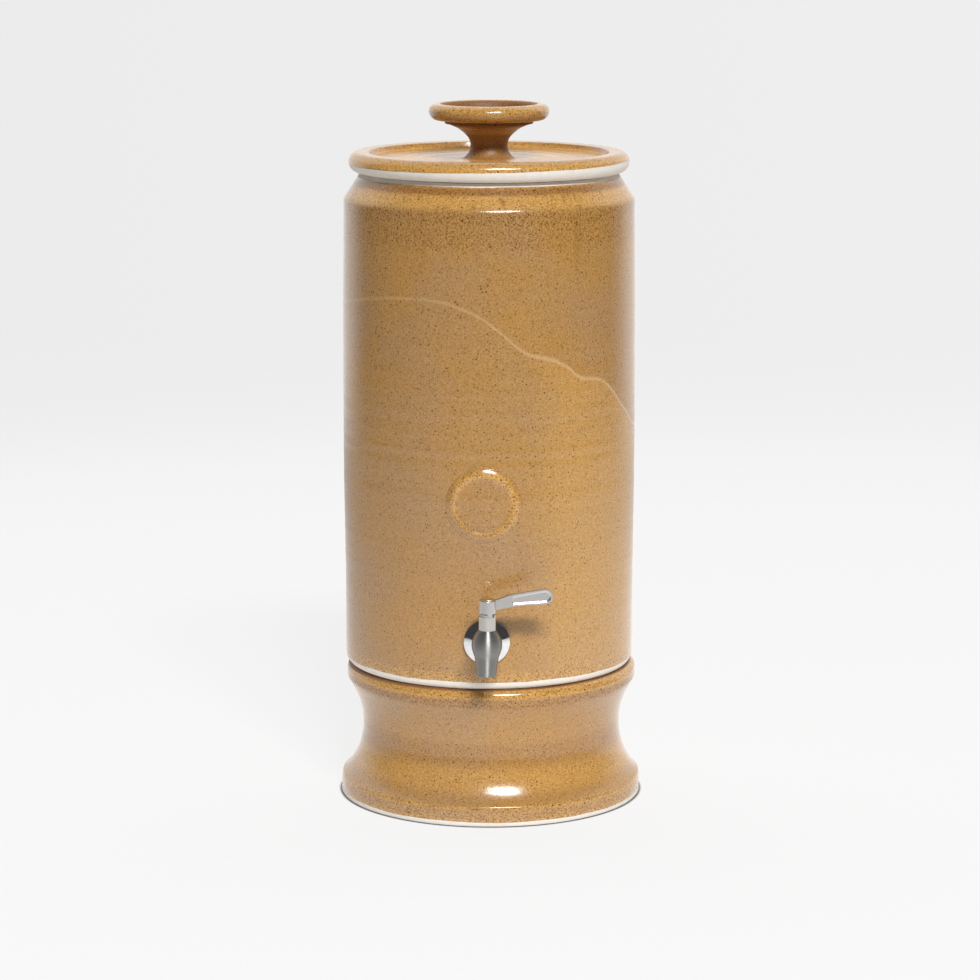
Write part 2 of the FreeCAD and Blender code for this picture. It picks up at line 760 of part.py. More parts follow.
stem_clear = stem_thread_radius + thread_clearance
shapes = {
    "stand": make_stand(),
    "crock": make_crock(),
    "medallion": make_medallion(),
    "lid": make_lid(),
    "upper_reservoir": make_reservoir(),
    "candle_dome": make_candle_dome(),
    "carbon_core": make_carbon_core(),
    "candle_base": make_candle_base(),
    "candle_washer": ring(candle_washer_radius, stem_clear, reservoir_floor_z, candle_base_z),
    "stem_washer": ring(stem_washer_radius, stem_clear, stem_washer_z, reservoir_foot_z),
    "wing_nut": make_wing_nut(),
    "tap_body": hung(make_tap_body()),
    "tap_escutcheon": hung(make_escutcheon()),
    "tap_outer_washer": make_outer_washer(),
    "tap_inner_washer": make_inner_washer(),
    "tap_backing_washer": hung(make_backing_washer()),
    "tap_clamp_nut": hung(make_clamp_nut()),
    "valve_seat": hung(make_valve_seat()),
    "valve_plug": hung(make_valve_plug()),
    "stem_o_rings": hung(make_o_rings()),
    "tap_lever": hung(make_lever()),
    "lever_screw": hung(make_lever_screw()),
    "lever_cap": hung(make_lever_cap()),
}

os.makedirs("parts", exist_ok=True)
for name, shape in shapes.items():
    shape.exportStep("parts/" + name + ".step")
    print(name, "solids", len(shape.Solids), "valid", shape.isValid(), "volume", round(shape.Volume))
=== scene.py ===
import math

import bmesh
import bpy
from mathutils import Matrix, Vector
from mathutils.bvhtree import BVHTree


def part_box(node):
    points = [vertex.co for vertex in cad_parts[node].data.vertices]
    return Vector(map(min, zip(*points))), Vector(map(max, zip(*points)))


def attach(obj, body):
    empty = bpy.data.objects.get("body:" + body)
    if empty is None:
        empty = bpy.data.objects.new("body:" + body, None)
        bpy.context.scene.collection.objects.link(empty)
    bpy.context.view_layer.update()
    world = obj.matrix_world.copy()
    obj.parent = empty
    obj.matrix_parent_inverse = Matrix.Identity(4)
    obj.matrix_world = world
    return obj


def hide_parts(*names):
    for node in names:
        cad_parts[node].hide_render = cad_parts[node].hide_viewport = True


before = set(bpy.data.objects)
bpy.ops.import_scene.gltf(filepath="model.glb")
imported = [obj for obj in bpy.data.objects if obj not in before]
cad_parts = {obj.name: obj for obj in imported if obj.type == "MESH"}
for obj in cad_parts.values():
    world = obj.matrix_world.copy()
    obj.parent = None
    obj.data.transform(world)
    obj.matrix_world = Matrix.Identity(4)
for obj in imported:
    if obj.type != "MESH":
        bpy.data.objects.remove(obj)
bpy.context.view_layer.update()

MM = 0.001

# Sizes of the thrown pieces in millimetres, read from the frame where a whole piece gives them
stand_low, stand_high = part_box("stand")
crock_low, crock_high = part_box("crock")
lid_low, lid_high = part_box("lid")
bowl_low, bowl_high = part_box("upper_reservoir")

stand_height = stand_high.z / MM
stand_band_radius = 122.9
stand_foot_radius = 123.2
stand_foot_width = 7.0
stand_bevel_height = 2.6
stand_band_height = 16.0
stand_waist_radius = 105.5
stand_waist_height = 57.5
stand_rim_radius = 118.3
stand_rim_height = 12.6
stand_rim_round = 6.5
stand_seat_width = 13.5
stand_wall = 9.0
# How far the stand sits off the axis, and how much further its wall leans above the foot, in metres
stand_shift = (0.0011, -0.0012, 0.0)
stand_lean = (0.0007, 0.0, 0.0)

crock_radius = crock_high.x / MM
crock_foot = crock_low.z / MM
crock_top = crock_high.z / MM
crock_wall = 8.0
crock_floor = 124.0
crock_recess = 5.0
crock_foot_round = 6.5
crock_foot_inset = 16.5
crock_shoulder_drop = 21.3
crock_shoulder_round = 8.0
crock_mouth_radius = 96.0
crock_rim_width = 7.4
crock_belly = 0.9
gallery_height = 494.0
gallery_thickness = 7.0
gallery_slope = 15.0
gallery_pocket = 6.5
gallery_pocket_depth = 10.0
gallery_radius = 89.0

bowl_top = bowl_high.z / MM
bowl_foot = bowl_low.z / MM
bowl_flange_radius = bowl_high.x / MM
bowl_radius = 87.0
bowl_wall = 5.5
bowl_floor = 8.0
bowl_round = 8.0
bowl_hole = 6.75

lid_radius = lid_high.x / MM
lid_thickness = 17.0
lid_top = crock_top + lid_thickness
lid_edge_round = 7.8
lid_edge_lift = 0.9
lid_rim_inner = 96.5
lid_lip_drop = 1.0
lid_plate = lid_top - 7.5
lid_plate_drop = 5.2
lid_plate_thickness = 8.0
lid_ring_radius = 94.0
lid_ring_depth = 8.0
lid_ring_wall = 6.0
knob_top = lid_high.z / MM
knob_flare_radius = 25.5
knob_stem_radius = 15.0
knob_stem_height = 12.0
knob_bowl_radius = 34.0
knob_bead = 1.5
knob_ring_radius = 48.4
knob_ring_thickness = 13.0
knob_ring_width = 12.9
knob_bowl_depth = 14.8
knob_bowl_round = 7.0

seal_centre = (-4.2, 259.0)
seal_radius = 30.1
seal_depth = 1.5
seal_lip = 0.3
seal_sides = 120
seal_step = 0.7
seal_plate = 0.75
seal_plate_reach = (23.0, 30.0)
seal_ring = 1.35
seal_ring_radius = 25.0
seal_ring_widths = (4.8, 5.4)
seal_face_edge = 22.6
seal_face_edge_width = 1.5
# Turn from the seal's right towards its top where its ring takes the most painted light, in radians
seal_painted_light_side = 0.9

tap_axis = (-1.7, -147.0, 150.0)
tap_lean = 1.0
turned_top = 168.0
turned_radius = 13.0
paddle_front = -148.7
paddle_face = -148.0
paddle_slope = 1.4
lever_edge = 0.45

# How finely a turned profile is divided, and the wheel's own path
straight_step = 3.2
round_step = 0.8
turn_radius = 100.0


def rounded(before, point, after, radius):
    """Points on the tangent arc that rounds a corner of a profile."""
    back = (before - point).normalized()
    ahead = (after - point).normalized()
    half = back.angle(ahead) / 2
    start = point + back * (radius / math.tan(half))
    end = point + ahead * (radius / math.tan(half))
    centre = point + (back + ahead).normalized() * (radius / math.sin(half))
    turn = -(start - centre).angle_signed(end - centre)
    count = max(3, math.ceil(abs(turn) * radius / round_step))
    return [centre + Matrix.Rotation(turn * step / count, 2) @ (start - centre) for step in range(count + 1)]


def curved(poles):
    """Points on the smooth curve that four poles describe."""
    length = sum((b - a).length for a, b in zip(poles, poles[1:]))
    count = max(4, math.ceil(length / round_step / 1.5))
    points = []
    for step in range(count + 1):
        t = step / count
        u = 1 - t
        shares = (u ** 3, 3 * u * u * t, 3 * u * t * t, t ** 3)
        points.append(sum((pole * share for pole, share in zip(poles, shares)), Vector((0, 0))))
    return points


def profile(*items):
    """Half section of a turned piece as points (radius, height).

    An item is a corner, a rounded corner with its radius third, or a list of a curve's four poles.
    """
    poles = [[Vector(pole[:2]) for pole in (item if isinstance(item, list) else [item])] for item in items]
    corners = []
    for index, item in enumerate(items):
        before = poles[index - 1][-1]
        after = poles[(index + 1) % len(items)][0]
        if isinstance(item, list):
            corners += curved(poles[index])
        elif len(item) == 3:
            corners += rounded(before, poles[index][0], after, item[2])
        else:
            corners += poles[index]
    points = []
    for index, point in enumerate(corners):
        following = corners[(index + 1) % len(corners)]
        run = (following - point).length
        if run < 1e-4:
            continue
        points.append(point)
        if point.x < 1e-6 and following.x < 1e-6:
            continue
        count = math.ceil(run / straight_step)
        points += [point.lerp(following, step / count) for step in range(1, count)]
    return points


def add(tree, kind, inputs=None, **settings):
    """A node with its settings, and its inputs set to values or joined to sockets."""
    node = tree.nodes.new(kind)
    for name, value in settings.items():
        setattr(node, name, value)
    for name, value in (inputs or {}).items():
        if isinstance(value, bpy.types.NodeSocket):
            tree.links.new(value, node.inputs[name])
        else:
            node.inputs[name].default_value = value
    return node


def maths(tree, operation, *values):
    """Output of a Math node."""
    return add(tree, "ShaderNodeMath", dict(enumerate(values)), operation=operation).outputs[0]


def vector_maths(tree, operation, inputs):
    """Outputs of a Vector Math node."""
    return add(tree, "ShaderNodeVectorMath", inputs, operation=operation).outputs


def from_axis(tree, place):
    """Distance of a place from the upright axis."""
    flat = vector_maths(tree, "MULTIPLY", {0: place, 1: (1.0, 1.0, 0.0)})[0]
    return vector_maths(tree, "LENGTH", {0: flat})["Value"]


def remap(tree, value, low, high, to_low=0.0, to_high=1.0, kind="SMOOTHSTEP"):
    """Output of a Map Range node."""
    inputs = {"Value": value, "From Min": low, "From Max": high, "To Min": to_low, "To Max": to_high}
    return add(tree, "ShaderNodeMapRange", inputs, interpolation_type=kind).outputs[0]


def sockets(tree, direction, **kinds):
    """Sockets of a node group, by name, with a default value for each input."""
    for name, (kind, value) in kinds.items():
        socket = tree.interface.new_socket(name.replace("_", " "), in_out=direction,
                                           socket_type="NodeSocket" + kind)
        if value is not None:
            socket.default_value = value


def wheel_tree():
    """Turns a profile about the upright axis, with the rings and the wander of a thrown wall."""
    tree = bpy.data.node_groups.new("potters_wheel", "GeometryNodeTree")
    sockets(tree, "INPUT", Profile=("Geometry", None), Segments=("Int", 192),
            Turn_Radius=("Float", turn_radius * MM), Ring_Pitch=("Float", 0.012),
            Ring_Depth=("Float", 0.0002), Wander_Size=("Float", 0.07), Wander=("Float", 0.0003),
            Seed=("Float", 0.0), Foot=("Float", -1.0), Shift=("Vector", (0.0, 0.0, 0.0)),
            Lean=("Vector", (0.0, 0.0, 0.0)), Lean_Height=("Float", 0.03), Clay=("Material", None))
    sockets(tree, "OUTPUT", Vessel=("Geometry", None))
    given = add(tree, "NodeGroupInput").outputs
    curve = add(tree, "GeometryNodeMeshToCurve", {"Mesh": given["Profile"]}).outputs[0]
    along = add(tree, "GeometryNodeSplineParameter").outputs["Length"]
    captured = add(tree, "GeometryNodeCaptureAttribute", {"Geometry": curve})
    captured.capture_items.new("FLOAT", "Along")
    tree.links.new(along, captured.inputs["Along"])
    circle = add(tree, "GeometryNodeCurvePrimitiveCircle",
                 {"Resolution": given["Segments"], "Radius": given["Turn Radius"]}).outputs[0]
    swept = add(tree, "GeometryNodeCurveToMesh",
                {"Curve": circle, "Profile Curve": captured.outputs["Geometry"]}).outputs[0]
    closed = add(tree, "GeometryNodeMergeByDistance", {"Geometry": swept, "Distance": 1e-6}).outputs[0]
    turns = maths(tree, "DIVIDE", captured.outputs["Along"], given["Ring Pitch"])
    rings = add(tree, "ShaderNodeTexNoise", {"W": maths(tree, "ADD", turns, given["Seed"]), "Scale": 1.0,
                                             "Detail": 1.0}, noise_dimensions="1D").outputs[0]
    place = add(tree, "GeometryNodeInputPosition").outputs[0]
    spread = maths(tree, "DIVIDE", 1.0, given["Wander Size"])
    wander = add(tree, "ShaderNodeTexNoise", {"Vector": place, "W": given["Seed"], "Scale": spread,
                                              "Detail": 1.0}, noise_dimensions="4D").outputs[0]
    ring_height = maths(tree, "MULTIPLY", maths(tree, "SUBTRACT", rings, 0.5), given["Ring Depth"])
    wander_height = maths(tree, "MULTIPLY", maths(tree, "SUBTRACT", wander, 0.5), given["Wander"])
    radius = from_axis(tree, place)
    upright = add(tree, "ShaderNodeSeparateXYZ", {"Vector": place}).outputs["Z"]
    above_foot = remap(tree, maths(tree, "SUBTRACT", upright, given["Foot"]), 0.0, 0.004)
    height = maths(tree, "MULTIPLY", maths(tree, "ADD", ring_height, wander_height),
                   maths(tree, "MULTIPLY", remap(tree, radius, 0.0, 0.02), above_foot))
    risen = maths(tree, "MINIMUM", maths(tree, "DIVIDE", upright, given["Lean Height"]), 1.0)
    leaning = vector_maths(tree, "SCALE", {0: given["Lean"], "Scale": risen})[0]
    leaning = vector_maths(tree, "ADD", {0: leaning, 1: given["Shift"]})[0]
    facing = add(tree, "GeometryNodeInputNormal").outputs[0]
    offset = vector_maths(tree, "SCALE", {0: facing, "Scale": height})[0]
    offset = vector_maths(tree, "ADD", {0: offset, 1: leaning})[0]
    moved = add(tree, "GeometryNodeSetPosition", {"Geometry": closed, "Offset": offset}).outputs[0]
    smooth = add(tree, "GeometryNodeSetShadeSmooth", {"Geometry": moved}).outputs[0]
    clay = add(tree, "GeometryNodeSetMaterial", {"Geometry": smooth, "Material": given["Clay"]}).outputs[0]
    add(tree, "NodeGroupOutput", {"Vessel": clay})
    return tree


def link(name, mesh):
    """An object for a finished mesh."""
    thing = bpy.data.objects.new(name, mesh)
    bpy.context.scene.collection.objects.link(thing)
    return thing


def outward(mesh):
    """Closes the doubles of a mesh and turns its faces outwards."""
    work = bmesh.new()
    work.from_mesh(mesh)
    bmesh.ops.remove_doubles(work, verts=work.verts, dist=1e-6)
    bmesh.ops.recalc_face_normals(work, faces=work.faces)
    work.to_mesh(mesh)
    work.free()


def throw(name, points, clay, **wheel):
    """A turned piece: its profile goes on the wheel, and the result becomes a plain mesh."""
    line = bpy.data.meshes.new(name + "_profile")
    spots = [((point.x - turn_radius) * MM, -point.y * MM, 0) for point in points]
    edges = [(index, index + 1) for index in range(len(spots) - 1)]
    if points[0].x > 1e-6 or points[-1].x > 1e-6:
        edges.append((len(spots) - 1, 0))
    line.from_pydata(spots, edges, [])
    blank = link(name + "_profile", line)
    turning = blank.modifiers.new("wheel", "NODES")
    turning.node_group = potters_wheel
    names = {item.name: item.identifier for item in potters_wheel.interface.items_tree
             if item.in_out == "INPUT"}
    turning[names["Clay"]] = clay
    for key, value in wheel.items():
        turning[names[key.replace("_", " ")]] = value
    dressed = blank.evaluated_get(bpy.context.evaluated_depsgraph_get())
    mesh = bpy.data.meshes.new_from_object(dressed)
    bpy.data.objects.remove(blank)
    outward(mesh)
    mesh.name = name
    return link(name, mesh)


potters_wheel = wheel_tree()


def iron_speckle_group():
    """Fine iron speckle of a stoneware glaze, and the larger scattered specks.

    Specks and spots are (cell size, share of the cells, smallest and largest radius in cells, faintest one).
    """
    tree = bpy.data.node_groups.new("iron_speckle", "ShaderNodeTree")
    sockets(tree, "INPUT", Grain_Size=("Float", 0.0013), Speck_Share=("Float", 0.5),
            Spot_Share=("Float", 0.07))
    sockets(tree, "OUTPUT", Grain=("Float", None), Specks=("Float", None))
    given = add(tree, "NodeGroupInput").outputs
    place = add(tree, "ShaderNodeTexCoord").outputs["Object"]
    grain = add(tree, "ShaderNodeTexNoise", {"Vector": place, "Scale": maths(tree, "DIVIDE", 1.0, given[0]),
                                             "Detail": 1.5, "Roughness": 0.7}).outputs[0]
    masks = []
    specks = (0.0025, given[1], 0.24, 0.40, 0.45)
    spots = (0.0095, given[2], 0.055, 0.09, 0.8)
    for cell, share, small, large, faint in (specks, spots):
        cells = add(tree, "ShaderNodeTexVoronoi", {"Vector": place, "Scale": 1 / cell, "Randomness": 1.0})
        chance = add(tree, "ShaderNodeSeparateColor", {"Color": cells.outputs["Color"]}).outputs
        radius = remap(tree, chance["Green"], 0.0, 1.0, small, large, "LINEAR")
        inner = maths(tree, "MULTIPLY", radius, 0.4)
        dot = remap(tree, cells.outputs["Distance"], inner, radius, 1.0, 0.0)
        strength = remap(tree, maths(tree, "POWER", chance["Blue"], 2.0), 0.0, 1.0, faint, 1.0, "LINEAR")
        present = maths(tree, "LESS_THAN", chance["Red"], share)
        masks.append(maths(tree, "MULTIPLY", maths(tree, "MULTIPLY", dot, strength), present))
    add(tree, "NodeGroupOutput", {"Grain": grain, "Specks": maths(tree, "MAXIMUM", *masks)})
    return tree


def glaze_line_group():
    """How far a point lies past the wandering line where the dipped glaze stops."""
    tree = bpy.data.node_groups.new("glaze_line", "ShaderNodeTree")
    sockets(tree, "INPUT", Line_Height=("Float", 0.0), Side=("Float", 1.0), Wander=("Float", 0.001),
            Lean=("Float", 0.0), Dish_Radius=("Float", 0.0), Dish_Drop=("Float", 0.0))
    sockets(tree, "OUTPUT", Glazed=("Float", None), Thick_Edge=("Float", None))
    given = add(tree, "NodeGroupInput").outputs
    place = add(tree, "ShaderNodeTexCoord").outputs["Object"]
    slow = add(tree, "ShaderNodeTexNoise", {"Vector": place, "Scale": 17.0, "Detail": 2.0}).outputs[0]
    quick = add(tree, "ShaderNodeTexNoise", {"Vector": place, "Scale": 190.0, "Detail": 1.0}).outputs[0]
    wander = maths(tree, "ADD", maths(tree, "SUBTRACT", slow, 0.5),
                   maths(tree, "MULTIPLY", maths(tree, "SUBTRACT", quick, 0.5), 0.25))
    axes = add(tree, "ShaderNodeSeparateXYZ", {"Vector": place}).outputs
    line = maths(tree, "ADD", given["Line Height"], maths(tree, "MULTIPLY", axes["X"], given["Lean"]))
    dished = maths(tree, "LESS_THAN", from_axis(tree, place), given["Dish Radius"])
    line = maths(tree, "SUBTRACT", line, maths(tree, "MULTIPLY", dished, given["Dish Drop"]))
    past = maths(tree, "MULTIPLY", maths(tree, "SUBTRACT", axes["Z"], line), given["Side"])
    wander = maths(tree, "MULTIPLY", maths(tree, "MULTIPLY", wander, 3.0), given["Wander"])
    past = maths(tree, "ADD", past, wander)
    glazed = remap(tree, past, -0.00012, 0.00012)
    edge = maths(tree, "MULTIPLY", glazed, remap(tree, past, 0.0008, 0.0032, 1.0, 0.0))
    add(tree, "NodeGroupOutput", {"Glazed": glazed, "Thick Edge": edge})
    return tree


def kiln_tone_group():
    """Slow drift of a glaze's thickness and colour over a wall, and its orange-peel surface."""
    tree = bpy.data.node_groups.new("kiln_tone", "ShaderNodeTree")
    sockets(tree, "INPUT", Drift_Size=("Float", 0.09))
    sockets(tree, "OUTPUT", Tone=("Float", None), Peel=("Float", None))
    given = add(tree, "NodeGroupInput").outputs
    place = add(tree, "ShaderNodeTexCoord").outputs["Object"]
    spread = maths(tree, "DIVIDE", 1.0, given[0])
    drift = add(tree, "ShaderNodeTexNoise", {"Vector": place, "Scale": spread, "Detail": 3.0,
                                             "Roughness": 0.6}).outputs[0]
    peel = add(tree, "ShaderNodeTexNoise", {"Vector": place, "Scale": 240.0, "Detail": 1.0}).outputs[0]
    add(tree, "NodeGroupOutput", {"Tone": remap(tree, drift, 0.3, 0.7), "Peel": peel})
    return tree


def group(tree, source, **inputs):
    """A placed node group's outputs, with its inputs set."""
    return add(tree, "ShaderNodeGroup", {name.replace("_", " "): value for name, value in inputs.items()},
               node_tree=source).outputs


def colour(red, green, blue):
    """Linear colour of a display value from 0 to 255."""
    return tuple((part / 255) ** 2.2 for part in (red, green, blue)) + (1.0,)


def mixed(tree, share, first, second):
    """Colour between two colours or sockets."""
    node = add(tree, "ShaderNodeMix", data_type="RGBA")
    for socket, value in ((node.inputs[0], share), (node.inputs[6], first), (node.inputs[7], second)):
        if isinstance(value, bpy.types.NodeSocket):
            tree.links.new(value, socket)
        else:
            socket.default_value = value
    return node.outputs[2]


def material(name):
    """A new material and its shader."""
    made = bpy.data.materials.new(name)
    made.use_nodes = True
    return made, made.node_tree, made.node_tree.nodes["Principled BSDF"]


def bump(tree, height, distance):
    """Normal of a surface with a height in metres times distance."""
    return add(tree, "ShaderNodeBump", {"Height": height, "Distance": distance}).outputs[0]


tan_glaze = colour(184, 145, 99)
gold_glaze = colour(192, 145, 80)
# Amber of thinned glaze, and also painted light on faces that look up: the crock's shoulder, the stand's
# lower flare and the lid's plate
amber_glaze_and_painted_light = colour(222, 170, 94)
# Brown of pooled glaze, also used as painted shade in the shaded nooks and round the lid's stem
brown_glaze_and_painted_shade = colour(142, 96, 46)
grain_glaze = colour(112, 72, 34)
thin_glaze = colour(232, 198, 150)
iron_brown = colour(40, 22, 10)
bare_clay = colour(240, 234, 225)
clay_shade = colour(226, 217, 205)

# How the ochre glaze shows: depth of its grain, roughness added by each cause, and relief in millimetres
fine_grain = 1.3
coarse_grain = 2.6
glaze_roughness = 0.13
grain_roughness = 0.12
clay_roughness = 0.55
dull_roughness = 0.4
peel_relief = 0.05
glaze_relief = 0.30
speck_relief = 0.02
ridge_relief = 0.12
thick_edge_share = 0.7
streak_scale = (150.0, 150.0, 9.0)
nook_edge = 1.0


def poured_edge(tree, curve, low, high):
    """How near a point is to the edge of a second pour, and whether it lies below it.

    The curve gives pairs (turn from the front in degrees, height in millimetres) between low and high.
    """
    place = add(tree, "ShaderNodeTexCoord").outputs["Object"]
    axes = add(tree, "ShaderNodeSeparateXYZ", {"Vector": place}).outputs
    turn = maths(tree, "ARCTAN2", axes["X"], maths(tree, "MULTIPLY", axes["Y"], -1.0))
    share = remap(tree, turn, -math.pi, math.pi, 0.0, 1.0, "LINEAR")
    node = add(tree, "ShaderNodeFloatCurve", {"Value": share})
    line = node.mapping.curves[0]
    spots = [(degrees / 360 + 0.5, (height - low) / (high - low)) for degrees, height in curve]
    line.points[0].location = spots[0]
    line.points[1].location = spots[-1]
    for spot in spots[1:-1]:
        line.points.new(*spot)
    node.mapping.update()
    edge = remap(tree, node.outputs[0], 0.0, 1.0, low * MM, high * MM, "LINEAR")
    past = maths(tree, "SUBTRACT", edge, axes["Z"])
    ridge = remap(tree, maths(tree, "ABSOLUTE", past), 0.0, 0.0025, 1.0, 0.0)
    ridge = maths(tree, "MULTIPLY", ridge, remap(tree, turn, -0.4, 0.6, 0.5, 1.0))
    ridge = maths(tree, "MULTIPLY", ridge, remap(tree, turn, 2.0, 3.1, 1.0, 0.5))
    below = remap(tree, past, -0.001, 0.003)
    right = maths(tree, "MULTIPLY", remap(tree, turn, 0.2, 0.6), remap(tree, turn, 2.0, 3.1, 1.0, 0.0))
    return ridge, maths(tree, "MULTIPLY", below, right)


def raised(tree, base, mask, share):
    """A base value with a share of a mask on top."""
    return maths(tree, "ADD", base, maths(tree, "MULTIPLY", mask, share))


def shaded_nook_mask(tree, height, radius, inner, outer, bottom, top):
    """One inside a ring between two radii and two heights, and zero outside it."""
    mask = 1.0
    for measure, low, high in ((radius, inner, outer), (height, bottom, top)):
        for edge, before, after in ((low, 0.0, 1.0), (high, 1.0, 0.0)):
            step = remap(tree, measure, (edge - nook_edge) * MM, (edge + nook_edge) * MM, before, after)
            mask = maths(tree, "MULTIPLY", mask, step)
    return mask


def glaze_look(tree, lines, zones, dish=(0.0, 0.0), crest=None, runs=None, nooks=()):
    """Where the glaze lies, and how golden, brown, coarse and dull it is there.

    A line is (height, side, wander, lean): glaze lies above it when side is 1 and below it when -1.
    A zone is (height, reach, gold, brown, coarse): where a slope or an edge changed the glaze's look, its
    gold partly painted light on faces that look up and its brown partly painted shade round the knob's stem.
    A dish is (radius, drop): inside the radius the lines sit lower. The crest attribute marks raised edges
    and, on the seal's ring, painted light on the side towards the lamp; runs are (top, length, share) of the
    streaks that ran down the wall, and a shaded nook is (inner radius, outer radius, bottom, top, share),
    where the glaze is dull and takes painted shade in brown.
    """
    look = {"glazed": 1.0, "gold": 0.0, "brown": 0.0, "coarse": 0.0, "dull": 0.0}

    def lift(name, mask, share=1.0):
        look[name] = maths(tree, "MAXIMUM", look[name], maths(tree, "MULTIPLY", mask, share))

    place = add(tree, "ShaderNodeTexCoord").outputs["Object"]
    height = add(tree, "ShaderNodeSeparateXYZ", {"Vector": place}).outputs["Z"]
    radius = from_axis(tree, place)
    for line_height, side, wander, lean in lines:
        line = group(tree, glaze_line, Line_Height=line_height * MM, Side=side, Wander=wander * MM,
                     Lean=lean, Dish_Radius=dish[0] * MM, Dish_Drop=dish[1] * MM)
        look["glazed"] = maths(tree, "MULTIPLY", look["glazed"], line["Glazed"])
        lift("gold", line["Thick Edge"], thick_edge_share)
        lift("coarse", line["Thick Edge"], thick_edge_share)
    for zone_height, reach, gold, brown, coarse in zones:
        away = maths(tree, "ABSOLUTE", maths(tree, "SUBTRACT", height, zone_height * MM))
        near = remap(tree, away, 0.3 * reach * MM, reach * MM, 1.0, 0.0)
        lift("gold", near, gold)
        lift("brown", near, brown)
        lift("coarse", near, coarse)
    # On the seal this mark also carries painted light on the ring's lamp side into the gold
    if crest:
        mark = add(tree, "ShaderNodeAttribute", attribute_name=crest).outputs["Fac"]
        lift("gold", mark)
        lift("coarse", mark)
    if runs:
        top, length, share = runs
        drawn = add(tree, "ShaderNodeMapping", {"Vector": place, "Scale": streak_scale}).outputs[0]
        streak = add(tree, "ShaderNodeTexNoise", {"Vector": drawn, "Scale": 1.0, "Detail": 2.0}).outputs[0]
        fading = remap(tree, height, (top - length) * MM, top * MM, 0.0, share)
        lift("brown", remap(tree, streak, 0.55, 0.75), fading)
    # Shaded nooks: the glaze is made dull there, and the brown below is painted shade in the knob's hollow,
    # round its stem and in the stand's seat
    for *ring, share in nooks:
        lift("dull", shaded_nook_mask(tree, height, radius, *ring), share)
    lift("brown", look["dull"])
    return look


def ochre_colour(tree, look, tone, speckle):
    """Colour of the ochre glaze: its drift from tan to gold, its zones with their painted light and shade,
    its grain and its specks.
    """
    glaze = mixed(tree, tone, tan_glaze, gold_glaze)
    glaze = mixed(tree, look["gold"], glaze, amber_glaze_and_painted_light)
    glaze = mixed(tree, look["brown"], glaze, brown_glaze_and_painted_shade)
    wave = maths(tree, "SUBTRACT", 0.5, speckle["Grain"])
    grain = raised(tree, 0.25, wave, raised(tree, fine_grain, look["coarse"], coarse_grain))
    glaze = mixed(tree, remap(tree, grain, 0.0, 0.9, 0.0, 0.9, "LINEAR"), glaze, grain_glaze)
    specks = maths(tree, "MULTIPLY", speckle["Specks"], raised(tree, 0.8, look["coarse"], 0.2))
    return mixed(tree, specks, glaze, iron_brown)


def ochre_glaze(name, lines, zones, pour=None, **marks):
    """Ochre glaze over bare clay, where a pour is the curve of a second coat's edge with its two limits."""
    made, tree, shader = material(name)
    tone = group(tree, kiln_tone, Drift_Size=0.085)
    look = glaze_look(tree, lines, zones, **marks)
    relief = raised(tree, maths(tree, "MULTIPLY", tone["Peel"], peel_relief), look["glazed"], glaze_relief)
    if pour:
        ridge, second_coat = poured_edge(tree, *pour)
        look["gold"] = maths(tree, "MAXIMUM", look["gold"], maths(tree, "MULTIPLY", second_coat, 0.5))
    speckle = group(tree, iron_speckle, Grain_Size=0.0013, Spot_Share=0.05,
                    Speck_Share=raised(tree, 0.7, look["coarse"], 0.3))
    glaze = ochre_colour(tree, look, tone["Tone"], speckle)
    relief = raised(tree, relief, speckle["Specks"], -speck_relief)
    if pour:
        glaze = mixed(tree, maths(tree, "MULTIPLY", ridge, 0.36), glaze, thin_glaze)
        relief = raised(tree, relief, ridge, ridge_relief)
    clay = mixed(tree, tone["Peel"], clay_shade, bare_clay)
    tree.links.new(mixed(tree, look["glazed"], clay, glaze), shader.inputs["Base Color"])
    rough = raised(tree, glaze_roughness, speckle["Grain"], grain_roughness)
    rough = raised(tree, rough, maths(tree, "SUBTRACT", 1.0, look["glazed"]), clay_roughness)
    rough = raised(tree, rough, look["dull"], dull_roughness)
    tree.links.new(rough, shader.inputs["Roughness"])
    tree.links.new(bump(tree, relief, MM), shader.inputs["Normal"])
    shader.inputs["IOR"].default_value = 1.6
    return made


def pale_glaze():
    """Smooth cream glaze of the surfaces that hold water."""
    made, tree, shader = material("pale_glaze")
    speckle = group(tree, iron_speckle, Grain_Size=0.004, Speck_Share=0.05, Spot_Share=0.03)
    tone = group(tree, kiln_tone, Drift_Size=0.05)
    glaze = mixed(tree, tone["Tone"], colour(236, 229, 214), colour(226, 214, 193))
    glaze = mixed(tree, maths(tree, "MULTIPLY", speckle["Specks"], 0.5), glaze, brown_glaze_and_painted_shade)
    tree.links.new(glaze, shader.inputs["Base Color"])
    tree.links.new(remap(tree, tone["Peel"], 0.3, 0.7, 0.12, 0.2), shader.inputs["Roughness"])
    tree.links.new(bump(tree, tone["Peel"], 0.05 * MM), shader.inputs["Normal"])
    return made


def plain(name, base, second, grain, rough, relief, metal=0.0):
    """A fine-grained material between two close colours."""
    made, tree, shader = material(name)
    place = add(tree, "ShaderNodeTexCoord").outputs["Object"]
    noise = add(tree, "ShaderNodeTexNoise", {"Vector": place, "Scale": 1 / (grain * MM), "Detail": 3.0,
                                             "Roughness": 0.65}).outputs[0]
    share = remap(tree, noise, 0.3, 0.7)
    tree.links.new(mixed(tree, share, base, second), shader.inputs["Base Color"])
    tree.links.new(remap(tree, noise, 0.3, 0.7, rough - 0.05, rough + 0.05), shader.inputs["Roughness"])
    tree.links.new(bump(tree, noise, relief * MM), shader.inputs["Normal"])
    shader.inputs["Metallic"].default_value = metal
    return made


